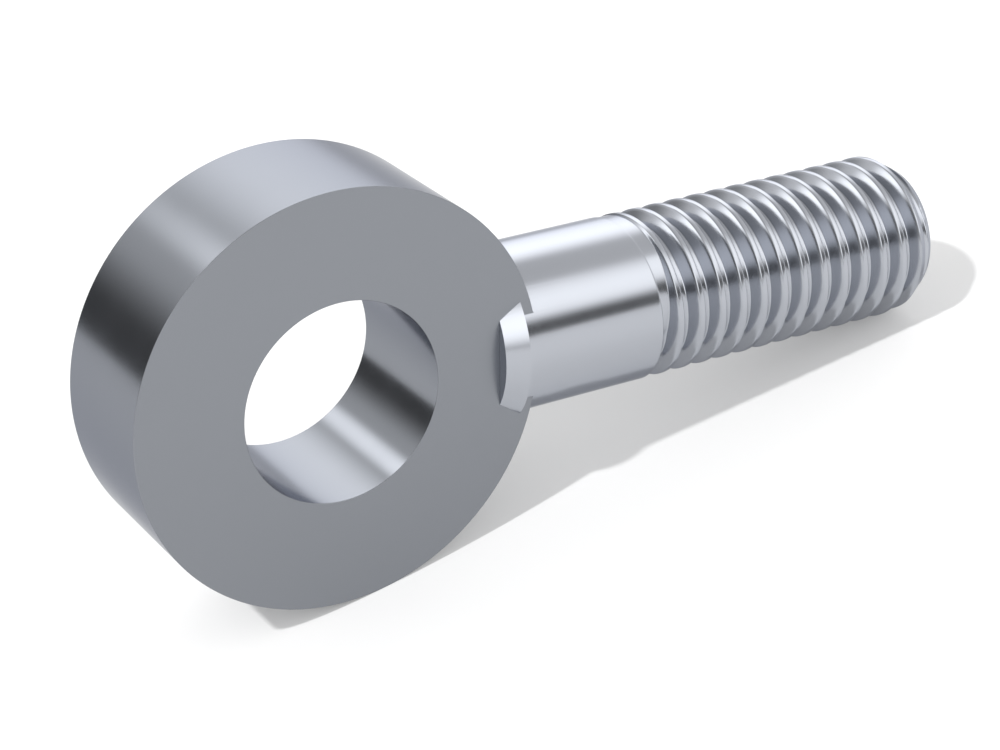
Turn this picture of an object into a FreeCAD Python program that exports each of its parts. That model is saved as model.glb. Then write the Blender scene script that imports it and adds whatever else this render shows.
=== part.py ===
import FreeCAD, Part
import os

import Sketcher

# Swing eye bolt, turned and threaded from one forging.
# The origin is the middle of the eye's bore, the bore runs along Y, and Z is up.
# In its own frame the shank points along +X. The body is then turned about the bore,
# because a bolt that stands on its eye tips forward until its thread meets the surface.

# Driving sizes in millimetres: alias, value and meaning.
SIZES = (
    ("eye_diameter", 25.0, "outside of the round eye"),
    ("eye_thickness", 8.5, "eye across its two flat faces"),
    ("bore_diameter", 12.0, "hole for the pivot pin"),
    ("shank_diameter", 10.0, "plain shank, and the thread over its crests"),
    ("reach", 41.2, "bore axis to the end of the thread"),
    ("collar_start", 10.0, "bore axis to the small end of the collar"),
    ("collar_length", 1.35, "small end to large end of the collar"),
    ("collar_diameter", 11.0, "large end of the collar"),
    ("first_groove", 21.27, "bore axis to the middle of the first full groove"),
    ("thread_pitch", 1.5, "one groove to the next"),
    ("thread_depth", 0.76, "crest down to root"),
    ("crest_width", 0.3, "flat left on top of the thread"),
    ("flank_angle", 30.0, "degrees between a flank and the plane across the shank"),
    ("runout_turns", 0.25, "part of a turn in which the groove rises out of the shank"),
    ("tip_diameter", 8.2, "flat at the end of the thread"),
    ("tip_chamfer_length", 1.4, "cone that leads the nut on"),
    ("cutter_clearance", 0.08, "reach of the thread cutter past the crests"),
)

doc = FreeCAD.newDocument("SwingEyeBolt")

sheet = doc.addObject("Spreadsheet::Sheet", "Sizes")
for row, (alias, value, meaning) in enumerate(SIZES, start=1):
    sheet.set("A%d" % row, meaning)
    sheet.set("B%d" % row, str(value))
    sheet.setAlias("B%d" % row, alias)
doc.recompute()

body = doc.addObject("PartDesign::Body", "EyeBolt")
body.Label = "eye_bolt"


def origin_plane(role):
    return next(feature for feature in body.Origin.OriginFeatures if feature.Role == role)


def new_sketch(name, plane_role):
    sketch = body.newObject("Sketcher::SketchObject", name)
    sketch.AttachmentSupport = (origin_plane(plane_role), "")
    sketch.MapMode = "FlatFace"
    return sketch


def add_circle(sketch, diameter):
    """Circle about the origin whose diameter follows the expression."""
    circle = sketch.addGeometry(Part.Circle(FreeCAD.Vector(0, 0, 0), FreeCAD.Vector(0, 0, 1), 5))
    sketch.addConstraint(Sketcher.Constraint("Coincident", circle, 3, -1, 1))
    index = sketch.addConstraint(Sketcher.Constraint("Diameter", circle, 10))
    sketch.setExpression("Constraints[%d]" % index, diameter)


def add_outline(sketch, corners):
    """Closed outline. Each corner has a rough place and the expressions that its x and y follow."""
    count = len(corners)
    rough = [FreeCAD.Vector(rough_x, rough_y, 0) for rough_x, rough_y, x, y in corners]
    for i in range(count):
        sketch.addGeometry(Part.LineSegment(rough[i], rough[(i + 1) % count]))
    for i in range(count):
        sketch.addConstraint(Sketcher.Constraint("Coincident", i, 2, (i + 1) % count, 1))
    for i, (rough_x, rough_y, x, y) in enumerate(corners):
        index = sketch.addConstraint(Sketcher.Constraint("DistanceX", -1, 1, i, 1, rough_x))
        sketch.setExpression("Constraints[%d]" % index, x)
        if y is None:
            # This corner lies on the shank's axis.
            sketch.addConstraint(Sketcher.Constraint("PointOnObject", i, 1, -1))
        else:
            index = sketch.addConstraint(Sketcher.Constraint("DistanceY", -1, 1, i, 1, rough_y))
            sketch.setExpression("Constraints[%d]" % index, y)


# The eye is a thick round disc with square edges.
eye_outline = new_sketch("EyeOutline", "XZ_Plane")
add_circle(eye_outline, "Sizes.eye_diameter")
eye = body.newObject("PartDesign::Pad", "Eye")
eye.Profile = eye_outline
eye.SideType = "Symmetric"
eye.setExpression("Length", "Sizes.eye_thickness")

# The shank is turned about X. Its small end lies inside the eye, a short collar widens from it
# and stands proud of the eye's flat faces, and the far end has a lead-in cone.
COLLAR_END = "Sizes.collar_start + Sizes.collar_length"
SHANK_RADIUS = "Sizes.shank_diameter / 2"
shank_outline = new_sketch("ShankOutline", "XY_Plane")
add_outline(shank_outline, (
    (10, 0, "Sizes.collar_start", None),
    (10, 5, "Sizes.collar_start", SHANK_RADIUS),
    (11, 6, COLLAR_END, "Sizes.collar_diameter / 2"),
    (11, 5, COLLAR_END, SHANK_RADIUS),
    (39, 5, "Sizes.reach - Sizes.tip_chamfer_length", SHANK_RADIUS),
    (41, 4, "Sizes.reach", "Sizes.tip_diameter / 2"),
    (41, 0, "Sizes.reach", None),
))
shank = body.newObject("PartDesign::Revolution", "Shank")
shank.Profile = shank_outline
shank.ReferenceAxis = (shank_outline, ["H_Axis"])
shank.Angle = 360

# The bore goes right through the eye.
bore_outline = new_sketch("BoreOutline", "XZ_Plane")
add_circle(bore_outline, "Sizes.bore_diameter")
bore = body.newObject("PartDesign::Pocket", "Bore")
bore.Profile = bore_outline
bore.SideType = "Symmetric"
bore.Type = "ThroughAll"

# The thread cutter's section is drawn on the -Y side of the shank, at the first full groove.
# It is as wide at the crests as the pitch leaves beside a crest, and narrows along the flanks.
FLANK_SLOPE = "tan(Sizes.flank_angle * 1 deg)"
HALF_GAP = "(Sizes.thread_pitch - Sizes.crest_width) / 2"
MOUTH_HALF = "(" + HALF_GAP + " + Sizes.cutter_clearance * " + FLANK_SLOPE + ")"
ROOT_HALF = "(" + HALF_GAP + " - Sizes.thread_depth * " + FLANK_SLOPE + ")"
MOUTH_Y = "-(" + SHANK_RADIUS + " + Sizes.cutter_clearance)"
ROOT_Y = "-(" + SHANK_RADIUS + " - Sizes.thread_depth)"
groove_outline = new_sketch("GrooveOutline", "XY_Plane")
add_outline(groove_outline, (
    (20, -6, "Sizes.first_groove - " + MOUTH_HALF, MOUTH_Y),
    (21, -4, "Sizes.first_groove - " + ROOT_HALF, ROOT_Y),
    (22, -4, "Sizes.first_groove + " + ROOT_HALF, ROOT_Y),
    (23, -6, "Sizes.first_groove + " + MOUTH_HALF, MOUTH_Y),
))

# The groove winds right-handed from there past the end of the bolt.
thread = body.newObject("PartDesign::SubtractiveHelix", "Thread")
thread.Profile = groove_outline
thread.ReferenceAxis = (groove_outline, ["H_Axis"])
thread.Mode = "pitch-height-angle"
thread.setExpression("Pitch", "Sizes.thread_pitch")
thread.setExpression("Height", "Sizes.reach - Sizes.first_groove + Sizes.thread_pitch")

# Towards the eye it goes on in the same helix and climbs until it has left the metal.
runout = body.newObject("PartDesign::SubtractiveHelix", "Runout")
runout.Profile = groove_outline
runout.ReferenceAxis = (groove_outline, ["H_Axis"])
runout.Mode = "height-turns-growth"
runout.Reversed = True
runout.setExpression("Turns", "Sizes.runout_turns")
runout.setExpression("Height", "Sizes.thread_pitch * Sizes.runout_turns")
runout.setExpression("Growth", "(Sizes.thread_depth + Sizes.cutter_clearance) / Sizes.runout_turns")

# At rest the eye's rim and the first crest behind the lead-in cone touch the surface.
FULL_THREAD_END = "(Sizes.reach - Sizes.tip_chamfer_length)"
body.Placement = FreeCAD.Placement(FreeCAD.Vector(0, 0, 0), FreeCAD.Rotation(FreeCAD.Vector(0, 1, 0), 10))
body.setExpression(
    "Placement.Rotation.Angle",
    "asin(Sizes.eye_diameter / 2 / hypot(" + FULL_THREAD_END + "; " + SHANK_RADIUS + "))"
    " - atan(" + SHANK_RADIUS + " / " + FULL_THREAD_END + ")",
)

doc.recompute()
for item in doc.Objects:
    if "Invalid" in item.State or "Error" in item.State:
        raise RuntimeError("%s was not built: %s" % (item.Name, item.State))
for smaller, larger in ((bore, shank), (thread, bore), (runout, thread)):
    if smaller.Shape.Volume >= larger.Shape.Volume:
        raise RuntimeError("%s cut nothing" % smaller.Name)
if body.Shape.isNull() or not body.Shape.isValid() or len(body.Shape.Solids) != 1:
    raise RuntimeError("%s is not one sound solid" % body.Label)

os.makedirs("parts", exist_ok=True)
body.Shape.exportStep("parts/%s.step" % body.Label)
print("%s: %.1f cubic millimetres" % (body.Label, body.Shape.Volume))
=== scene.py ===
import math

import bpy
import mathutils
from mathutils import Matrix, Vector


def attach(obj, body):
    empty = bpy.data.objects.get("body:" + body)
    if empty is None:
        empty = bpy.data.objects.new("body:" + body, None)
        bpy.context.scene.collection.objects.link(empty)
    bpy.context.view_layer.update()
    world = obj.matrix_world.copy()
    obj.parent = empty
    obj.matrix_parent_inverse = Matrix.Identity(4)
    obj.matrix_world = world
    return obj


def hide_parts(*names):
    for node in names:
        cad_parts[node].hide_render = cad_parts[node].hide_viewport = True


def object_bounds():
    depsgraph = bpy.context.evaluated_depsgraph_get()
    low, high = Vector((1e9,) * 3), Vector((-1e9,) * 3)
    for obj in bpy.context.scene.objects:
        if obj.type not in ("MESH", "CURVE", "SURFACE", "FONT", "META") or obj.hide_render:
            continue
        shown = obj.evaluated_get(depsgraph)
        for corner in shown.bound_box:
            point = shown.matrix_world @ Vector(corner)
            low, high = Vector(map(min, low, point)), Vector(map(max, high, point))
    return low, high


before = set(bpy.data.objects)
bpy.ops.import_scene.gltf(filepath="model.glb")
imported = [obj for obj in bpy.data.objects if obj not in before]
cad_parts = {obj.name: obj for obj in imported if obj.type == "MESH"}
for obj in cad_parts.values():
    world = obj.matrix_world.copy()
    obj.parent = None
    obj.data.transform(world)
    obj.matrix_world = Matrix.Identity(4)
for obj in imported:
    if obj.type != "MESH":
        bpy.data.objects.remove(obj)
cad_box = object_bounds()

# The eye: a thick round disc of steel with a plain bore, forged flat and bored right through.
# Its edges keep only the faint break that a file leaves. It is drawn with the bore along Y,
# and the whole bolt is turned to the way it rests once the shank has joined it.
EYE_RADIUS = 0.0125
EYE_THICKNESS = 0.0085
BORE_RADIUS = 0.006
EDGE_BREAK = 0.00004
EDGE_BREAK_STEPS = 3
SHARP_EDGE = math.radians(60)
ROUND_STEPS = 384


def select_only(kind, wanted):
    """Selects, in edit mode, just the vertices, edges or faces for which wanted is true."""
    bpy.ops.mesh.select_mode(type=kind)
    bpy.ops.mesh.select_all(action="DESELECT")
    bpy.ops.object.mode_set(mode="OBJECT")
    mesh = bpy.context.object.data
    items = {"VERT": mesh.vertices, "EDGE": mesh.edges, "FACE": mesh.polygons}[kind]
    for item in items:
        item.select = wanted(item)
    bpy.ops.object.mode_set(mode="EDIT")


def faces_along_bore(face):
    return abs(face.normal.y) > 0.9


bpy.ops.object.select_all(action="DESELECT")
bpy.ops.mesh.primitive_cylinder_add(
    vertices=ROUND_STEPS, radius=EYE_RADIUS, depth=EYE_THICKNESS, rotation=(math.pi / 2, 0, 0)
)
eye = bpy.context.object
bpy.ops.object.transform_apply(location=True, rotation=True, scale=True)
bpy.ops.object.mode_set(mode="EDIT")
select_only("FACE", faces_along_bore)
bpy.ops.mesh.inset(thickness=EYE_RADIUS - BORE_RADIUS, use_even_offset=False)
bpy.ops.mesh.bridge_edge_loops()
bpy.ops.mesh.select_mode(type="EDGE")
bpy.ops.mesh.select_all(action="DESELECT")
bpy.ops.mesh.edges_select_sharp(sharpness=SHARP_EDGE)
bpy.ops.mesh.bevel(offset=EDGE_BREAK, segments=EDGE_BREAK_STEPS)
bpy.ops.mesh.select_all(action="SELECT")
bpy.ops.mesh.normals_make_consistent(inside=False)
bpy.ops.object.mode_set(mode="OBJECT")

# The thread: a right-hand helix with flat crests and roots, as a die cuts it, with its corners
# slightly rounded. One pitch of its section is drawn as a chain of edges on the -Y side and
# wound round the shank's axis, which lies along X until the bolt is turned.
SHANK_RADIUS = 0.005
REACH = 0.0412
PITCH = 0.0015
THREAD_DEPTH = 0.00076
CREST_WIDTH = 0.0003
FLANK_ANGLE = math.radians(30)
FIRST_GROOVE = 0.02127
CORNER_ROUNDING = 0.00008
CORNER_STEPS = 4
FLANK_CUTS = 4
TURN_STEPS = 144
SPARE_TURNS = 2
SAME_POINT = CORNER_ROUNDING / 20

flank_run = THREAD_DEPTH * math.tan(FLANK_ANGLE)
root_width = PITCH - CREST_WIDTH - 2 * flank_run
section_start = FIRST_GROOVE - PITCH / 2 - SPARE_TURNS * PITCH
turns = math.ceil((REACH - section_start) / PITCH) + 1


def corners_of_section(corner):
    return CREST_WIDTH / 4 < corner.co.x - section_start < PITCH - CREST_WIDTH / 4


def flanks_of_section(edge):
    first, second = (bolt.data.vertices[i].co for i in edge.vertices)
    return abs(first.y - second.y) > THREAD_DEPTH / 2


bpy.ops.object.select_all(action="DESELECT")
bpy.ops.mesh.primitive_plane_add(size=PITCH, location=(section_start, -SHANK_RADIUS, 0))
bolt = bpy.context.object
bpy.ops.object.transform_apply(location=True, rotation=True, scale=True)
bpy.ops.object.mode_set(mode="EDIT")
bpy.ops.mesh.select_mode(type="VERT")
bpy.ops.mesh.merge(type="CENTER")
for along, inward in (
    (CREST_WIDTH / 2, 0),
    (flank_run, THREAD_DEPTH),
    (root_width, 0),
    (flank_run, -THREAD_DEPTH),
    (CREST_WIDTH / 2, 0),
):
    bpy.ops.mesh.extrude_region_move(TRANSFORM_OT_translate={"value": (along, inward, 0)})
select_only("VERT", corners_of_section)
bpy.ops.mesh.bevel(
    offset=CORNER_ROUNDING, offset_type="WIDTH", segments=CORNER_STEPS, affect="VERTICES"
)
select_only("EDGE", flanks_of_section)
bpy.ops.mesh.subdivide(number_cuts=FLANK_CUTS)
bpy.ops.object.mode_set(mode="OBJECT")

winding = bolt.modifiers.new("Winding", "SCREW")
winding.axis = "X"
winding.angle = 2 * math.pi
winding.screw_offset = PITCH
winding.iterations = turns
winding.steps = TURN_STEPS
winding.render_steps = TURN_STEPS
bpy.ops.object.modifier_apply(modifier=winding.name)
bpy.ops.object.mode_set(mode="EDIT")
bpy.ops.mesh.select_all(action="SELECT")
bpy.ops.mesh.remove_doubles(threshold=SAME_POINT)
bpy.ops.object.mode_set(mode="OBJECT")

# The thread's ends: towards the eye the groove climbs out of the metal, steeply at first and then as
# a long shallow trace that the die's lead leaves, and at the tip a lead-in cone cuts the crests
# down. Points of a shallow groove slide up its flanks, so that its section stays a clean V.
STEEP_START = math.radians(12)
STEEP_END = math.radians(-50)
TRACE_DEPTH = 0.00024
TRACE_END = math.radians(-140)
TIP_RADIUS = 0.0041
TIP_CONE_LENGTH = 0.0014
cone_slope = (SHANK_RADIUS - TIP_RADIUS) / TIP_CONE_LENGTH
cone_start = REACH - TIP_CONE_LENGTH
mouth_half = (PITCH - CREST_WIDTH) / 2
root_half = root_width / 2
steep_rise = (THREAD_DEPTH - TRACE_DEPTH) / (STEEP_START - STEEP_END)
trace_rise = TRACE_DEPTH / (STEEP_END - TRACE_END)

for point in bolt.data.vertices:
    x, y, z = point.co
    radius = math.hypot(y, z)
    angle = math.atan2(z, y) % (2 * math.pi) - math.pi
    turn_number = round((x - FIRST_GROOVE) / PITCH - angle / (2 * math.pi))
    along_helix = angle + 2 * math.pi * turn_number
    groove_middle = FIRST_GROOVE + along_helix / (2 * math.pi) * PITCH
    depth_here = max(
        THREAD_DEPTH - (STEEP_START - along_helix) * steep_rise,
        (along_helix - TRACE_END) * trace_rise,
    )
    depth_share = min(max(depth_here / THREAD_DEPTH, 0), 1)
    aside = x - groove_middle
    new_root_half = mouth_half - (mouth_half - root_half) * depth_share
    if abs(aside) < root_half:
        aside *= new_root_half / root_half
    elif abs(aside) < mouth_half:
        aside = math.copysign(mouth_half - (mouth_half - abs(aside)) * depth_share, aside)
    groove_radius = SHANK_RADIUS - (SHANK_RADIUS - radius) * depth_share
    cone_radius = SHANK_RADIUS - max(x - cone_start, 0) * cone_slope
    new_radius = min(groove_radius, cone_radius)
    point.co = (groove_middle + aside, y * new_radius / radius, z * new_radius / radius)

bpy.ops.object.mode_set(mode="EDIT")
bpy.ops.mesh.select_all(action="SELECT")
bpy.ops.mesh.remove_doubles(threshold=SAME_POINT)
bpy.ops.mesh.dissolve_degenerate(threshold=SAME_POINT)
bpy.ops.object.mode_set(mode="OBJECT")

# The plain shank and the collar: the thread's blank end is drawn out to the eye in one turned
# piece. The collar widens the shank where the eye's flat faces meet it, and its small end lies
# flush inside the eye, so only two crescents of it show.
COLLAR_START = 0.010
COLLAR_LENGTH = 0.00135
COLLAR_RADIUS = 0.0055
THREAD_CUT = 0.0195
CUT_TOLERANCE = 1e-7
collar_end = COLLAR_START + COLLAR_LENGTH
collar_flare = COLLAR_RADIUS / SHANK_RADIUS

bpy.ops.object.mode_set(mode="EDIT")
bpy.ops.mesh.select_mode(type="EDGE")
bpy.ops.mesh.select_all(action="SELECT")
bpy.ops.mesh.bisect(
    plane_co=(REACH, 0, 0), plane_no=(1, 0, 0), clear_outer=True, use_fill=True, threshold=CUT_TOLERANCE
)
bpy.ops.mesh.select_all(action="SELECT")
bpy.ops.mesh.bisect(
    plane_co=(THREAD_CUT, 0, 0), plane_no=(1, 0, 0), clear_inner=True, threshold=CUT_TOLERANCE
)
bpy.ops.object.mode_set(mode="OBJECT")
# The cut leaves a ring of selected points, which are set at even steps round the shank.
for point in bolt.data.vertices:
    if point.select:
        step = round(math.atan2(point.co.z, point.co.y) / (2 * math.pi) * TURN_STEPS)
        angle = step / TURN_STEPS * 2 * math.pi
        point.co = (point.co.x, SHANK_RADIUS * math.cos(angle), SHANK_RADIUS * math.sin(angle))
bpy.ops.object.mode_set(mode="EDIT")
bpy.ops.mesh.remove_doubles(threshold=SAME_POINT)
bpy.ops.mesh.extrude_region_move(TRANSFORM_OT_translate={"value": (collar_end - THREAD_CUT, 0, 0)})
bpy.ops.mesh.extrude_region_move()
bpy.ops.transform.resize(value=(1, collar_flare, collar_flare), center_override=(collar_end, 0, 0))
bpy.ops.mesh.extrude_region_move(TRANSFORM_OT_translate={"value": (-COLLAR_LENGTH, 0, 0)})
bpy.ops.transform.resize(
    value=(1, 1 / collar_flare, 1 / collar_flare), center_override=(COLLAR_START, 0, 0)
)
bpy.ops.mesh.edge_face_add()
bpy.ops.mesh.select_all(action="SELECT")
bpy.ops.mesh.normals_make_consistent(inside=False)
bpy.ops.object.mode_set(mode="OBJECT")

# The whole bolt: eye and shank are one forging, so the two shapes are joined without a seam. It is
# turned about its bore until the first full crest behind the lead-in cone meets the floor, because
# a bolt with its shank level would tip forward.
SMOOTH_ANGLE = math.radians(28)

joint = bolt.modifiers.new("Joint", "BOOLEAN")
joint.operation = "UNION"
joint.solver = "EXACT"
joint.object = eye
bpy.ops.object.modifier_apply(modifier=joint.name)
bpy.data.objects.remove(eye)
bpy.ops.object.shade_smooth_by_angle(angle=SMOOTH_ANGLE)
shading = bolt.modifiers.new("Shading", "WEIGHTED_NORMAL")
shading.keep_sharp = True
bpy.ops.object.modifier_apply(modifier=shading.name)

rest_angle = (
    math.asin(EYE_RADIUS / math.hypot(cone_start, SHANK_RADIUS)) - math.atan(SHANK_RADIUS / cone_start)
)
bolt.rotation_euler = (0, rest_angle, 0)
bpy.ops.object.transform_apply(location=True, rotation=True, scale=True)
bolt.name = "swing_eye_bolt"
bolt.data.name = "swing_eye_bolt"

# The finish: bright zinc on steel, slightly blue, with a soft gloss. The eye is painted darker and the
# turned shank, collar and thread lighter, as painted shade and painted light in place of their different
# reflections, and its two milled faces are duller than its rim. A faint cloud of wear varies the gloss
# without showing as marks from a step away.
SHADED_EYE_COLOUR = (0.25, 0.262, 0.285, 1)
LIT_SHANK_COLOUR = (0.43, 0.447, 0.485, 1)
EDGE_REFLECTION = (0.55, 0.56, 0.6, 1)
TURNED_GLOSS = (0.15, 0.21)
MILLED_GLOSS = (0.31, 0.37)
WEAR_SCALE = 400
WEAR_DETAIL = 4


def combine(tree, operation, *sources):
    """Adds a math node, whose sources are numbers or other nodes' outputs."""
    node = tree.nodes.new("ShaderNodeMath")
    node.operation = operation
    for socket, source in zip(node.inputs, sources):
        if isinstance(source, bpy.types.NodeSocket):
            tree.links.new(source, socket)
        else:
            socket.default_value = source
    return node.outputs["Value"]


def worn_gloss(tree, wear, fresh_and_worn):
    """Adds a roughness that goes from fresh to worn as the wear goes from 0 to 1."""
    node = tree.nodes.new("ShaderNodeMapRange")
    tree.links.new(wear, node.inputs["Value"])
    node.inputs["To Min"].default_value = fresh_and_worn[0]
    node.inputs["To Max"].default_value = fresh_and_worn[1]
    return node.outputs["Result"]


steel = bpy.data.materials.new("bright_zinc_steel")
steel.use_nodes = True
tree = steel.node_tree
shader = tree.nodes["Principled BSDF"]
shader.inputs["Metallic"].default_value = 1
shader.inputs["Specular Tint"].default_value = EDGE_REFLECTION

# A point is on the eye when it is within the rim's radius of the bore's axis and between the faces.
place = tree.nodes.new("ShaderNodeTexCoord")
coordinates = tree.nodes.new("ShaderNodeSeparateXYZ")
tree.links.new(place.outputs["Object"], coordinates.inputs["Vector"])
without_y = tree.nodes.new("ShaderNodeVectorMath")
without_y.operation = "MULTIPLY"
without_y.inputs[1].default_value = (1, 0, 1)
tree.links.new(place.outputs["Object"], without_y.inputs[0])
from_bore = tree.nodes.new("ShaderNodeVectorMath")
from_bore.operation = "LENGTH"
tree.links.new(without_y.outputs["Vector"], from_bore.inputs[0])
along_bore = coordinates.outputs["Y"]
within_rim = combine(tree, "LESS_THAN", from_bore.outputs["Value"], EYE_RADIUS + EDGE_BREAK / 2)
within_faces = combine(tree, "COMPARE", along_bore, 0, EYE_THICKNESS / 2 + EDGE_BREAK / 2)
between_faces = combine(tree, "COMPARE", along_bore, 0, EYE_THICKNESS / 2 - EDGE_BREAK / 2)
on_eye = combine(tree, "MULTIPLY", within_rim, within_faces)
on_milled_face = combine(tree, "GREATER_THAN", on_eye, between_faces)

# Painted light and shade: the eye takes the darker colour, and the shank, collar and thread take the
# lighter one.
lit_and_shaded_colour = tree.nodes.new("ShaderNodeMix")
lit_and_shaded_colour.data_type = "RGBA"
lit_and_shaded_colour.inputs["A"].default_value = LIT_SHANK_COLOUR
lit_and_shaded_colour.inputs["B"].default_value = SHADED_EYE_COLOUR
tree.links.new(on_eye, lit_and_shaded_colour.inputs["Factor"])
tree.links.new(lit_and_shaded_colour.outputs["Result"], shader.inputs["Base Color"])
cloud = tree.nodes.new("ShaderNodeTexNoise")
cloud.inputs["Scale"].default_value = WEAR_SCALE
cloud.inputs["Detail"].default_value = WEAR_DETAIL
tree.links.new(place.outputs["Object"], cloud.inputs["Vector"])
roughness = tree.nodes.new("ShaderNodeMix")
tree.links.new(on_milled_face, roughness.inputs["Factor"])
tree.links.new(worn_gloss(tree, cloud.outputs["Fac"], TURNED_GLOSS), roughness.inputs["A"])
tree.links.new(worn_gloss(tree, cloud.outputs["Fac"], MILLED_GLOSS), roughness.inputs["B"])
tree.links.new(roughness.outputs["Result"], shader.inputs["Roughness"])
bolt.data.materials.clear()
bolt.data.materials.append(steel)

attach(bolt, "root")
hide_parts("eye_bolt")

# The floor: a plain white sheet under the bolt, wide enough to fill the view from every side. It
# glows a little for the camera and in the steel, as a lit sheet does, so its shadows stay pale.
FLOOR_SIZE = 3.0
FLOOR_COLOUR = (0.69, 0.69, 0.69, 1)
FLOOR_GLOW = 0.2
floor_height = cad_box[0][2]

bpy.ops.object.select_all(action="DESELECT")
bpy.ops.mesh.primitive_plane_add(size=FLOOR_SIZE, location=(0, 0, floor_height))
floor = bpy.context.object
floor.name = "floor"
paper = bpy.data.materials.new("white_paper")
paper.use_nodes = True
tree = paper.node_tree
matt = tree.nodes["Principled BSDF"]
matt.inputs["Base Color"].default_value = FLOOR_COLOUR
matt.inputs["Roughness"].default_value = 1
matt.inputs["Specular IOR Level"].default_value = 0
rays = tree.nodes.new("ShaderNodeLightPath")
camera_or_glossy = combine(tree, "MAXIMUM", rays.outputs["Is Camera Ray"], rays.outputs["Is Glossy Ray"])
seen_ray = combine(tree, "MAXIMUM", camera_or_glossy, rays.outputs["Is Transmission Ray"])
white = tree.nodes.new("ShaderNodeEmission")
blend = tree.nodes.new("ShaderNodeMixShader")
tree.links.new(combine(tree, "MULTIPLY", seen_ray, FLOOR_GLOW), blend.inputs["Fac"])
tree.links.new(matt.outputs["BSDF"], blend.inputs[1])
tree.links.new(white.outputs["Emission"], blend.inputs[2])
tree.links.new(blend.outputs["Shader"], tree.nodes["Material Output"].inputs["Surface"])
floor.data.materials.append(paper)

# The surroundings: a studio, palest between the horizon and halfway up, with soft boxes and dark
# screens where the bolt's curves mirror them. A wall level follows its elevation in degrees, and a
# box has its azimuth, elevation and half width in degrees, and how much brighter than the walls it is.
WALL_LEVELS = ((-10, 0.5), (0, 0.6), (7, 1.0), (32, 1.0), (52, 0.8), (80, 0.5))
LOWEST = -10
HIGHEST = 90
SOFT_BOXES = (
    (57, 24, 36, 1.5),
    (-48, 36, 28, 0.95),
    (-104, 28, 28, 1.3),
    (102, 38, 10, 2.2),
    (160, 30, 22, 1.5),
    (180, 12, 24, -1.0),
    (124, 1, 28, -0.95),
    (-60, 2, 21, -1.0),
)
DARKEST = 0.12

studio = bpy.data.worlds.new("studio")
bpy.context.scene.world = studio
studio.use_nodes = True
tree = studio.node_tree
direction = tree.nodes.new("ShaderNodeTexCoord")
coordinates = tree.nodes.new("ShaderNodeSeparateXYZ")
tree.links.new(direction.outputs["Generated"], coordinates.inputs["Vector"])
height_share = tree.nodes.new("ShaderNodeMapRange")
height_share.inputs["From Min"].default_value = math.radians(LOWEST)
height_share.inputs["From Max"].default_value = math.radians(HIGHEST)
tree.links.new(combine(tree, "ARCSINE", coordinates.outputs["Z"]), height_share.inputs["Value"])
walls = tree.nodes.new("ShaderNodeValToRGB")
walls.color_ramp.interpolation = "EASE"
for index, (elevation, level) in enumerate(WALL_LEVELS):
    if index < 2:
        stop = walls.color_ramp.elements[index]
    else:
        stop = walls.color_ramp.elements.new(1)
    stop.position = (elevation - LOWEST) / (HIGHEST - LOWEST)
    stop.color = (level, level, level, 1)
tree.links.new(height_share.outputs["Result"], walls.inputs["Fac"])
brightness = walls.outputs["Color"]
for azimuth, elevation, half_width, extra in SOFT_BOXES:
    facing = tree.nodes.new("ShaderNodeVectorMath")
    facing.operation = "DOT_PRODUCT"
    facing.inputs[1].default_value = (
        math.cos(math.radians(elevation)) * math.cos(math.radians(azimuth)),
        math.cos(math.radians(elevation)) * math.sin(math.radians(azimuth)),
        math.sin(math.radians(elevation)),
    )
    tree.links.new(direction.outputs["Generated"], facing.inputs[0])
    glow = tree.nodes.new("ShaderNodeMapRange")
    glow.interpolation_type = "SMOOTHSTEP"
    glow.inputs["From Min"].default_value = math.cos(math.radians(half_width))
    glow.inputs["To Max"].default_value = extra
    tree.links.new(facing.outputs["Value"], glow.inputs["Value"])
    brightness = combine(tree, "ADD", brightness, glow.outputs["Result"])
backdrop = tree.nodes["Background"]
backdrop.inputs["Color"].default_value = (1, 1, 1, 1)
tree.links.new(combine(tree, "MAXIMUM", brightness, DARKEST), backdrop.inputs["Strength"])

# The key lamp: it stands at the front left and throws the shadow, which has a narrow soft edge.
# The steel doesn't mirror it, because so small a lamp would leave a hard glint there.
KEY_TRAVEL = (0.66, 0.2, -1)
KEY_ANGLE = math.radians(3)
KEY_STRENGTH = 2.6

key = bpy.data.objects.new("key_lamp", bpy.data.lights.new("key_lamp", "SUN"))
key.data.energy = KEY_STRENGTH
key.data.angle = KEY_ANGLE
key.rotation_euler = mathutils.Vector(KEY_TRAVEL).to_track_quat("-Z", "Y").to_euler()
key.visible_glossy = False
bpy.context.collection.objects.link(key)

# The camera: it keeps the photograph's view of the bolt, so its place is given in the bolt's own
# frame, with the shank along X, and turned with the bolt.
CAMERA_AZIMUTH = math.radians(-30.94)
CAMERA_ELEVATION = math.radians(25.25)
CAMERA_ROLL = math.radians(-0.17)
CAMERA_DISTANCE = 0.15226
CAMERA_ASIDE = 0.01078
FOCAL_LENGTH = 97.8
SENSOR_WIDTH = 36
NEAREST_SEEN = 0.005

turn = mathutils.Matrix.Rotation(rest_angle, 3, "Y")
back = mathutils.Vector((
    math.sin(CAMERA_AZIMUTH) * math.cos(CAMERA_ELEVATION),
    -math.cos(CAMERA_AZIMUTH) * math.cos(CAMERA_ELEVATION),
    math.sin(CAMERA_ELEVATION),
))
level_right = mathutils.Vector((math.cos(CAMERA_AZIMUTH), math.sin(CAMERA_AZIMUTH), 0))
right = mathutils.Quaternion(back, CAMERA_ROLL) @ level_right
up = back.cross(right)
spot = turn @ (back * CAMERA_DISTANCE + right * CAMERA_ASIDE)
axes = turn @ mathutils.Matrix((right, up, back)).transposed()

camera = bpy.data.objects.new("camera", bpy.data.cameras.new("camera"))
camera.data.lens = FOCAL_LENGTH
camera.data.sensor_width = SENSOR_WIDTH
camera.data.clip_start = NEAREST_SEEN
camera.matrix_world = mathutils.Matrix.Translation(spot) @ axes.to_4x4()
bpy.context.collection.objects.link(camera)
bpy.context.scene.camera = camera

bpy.context.scene.view_settings.view_transform = "Standard"
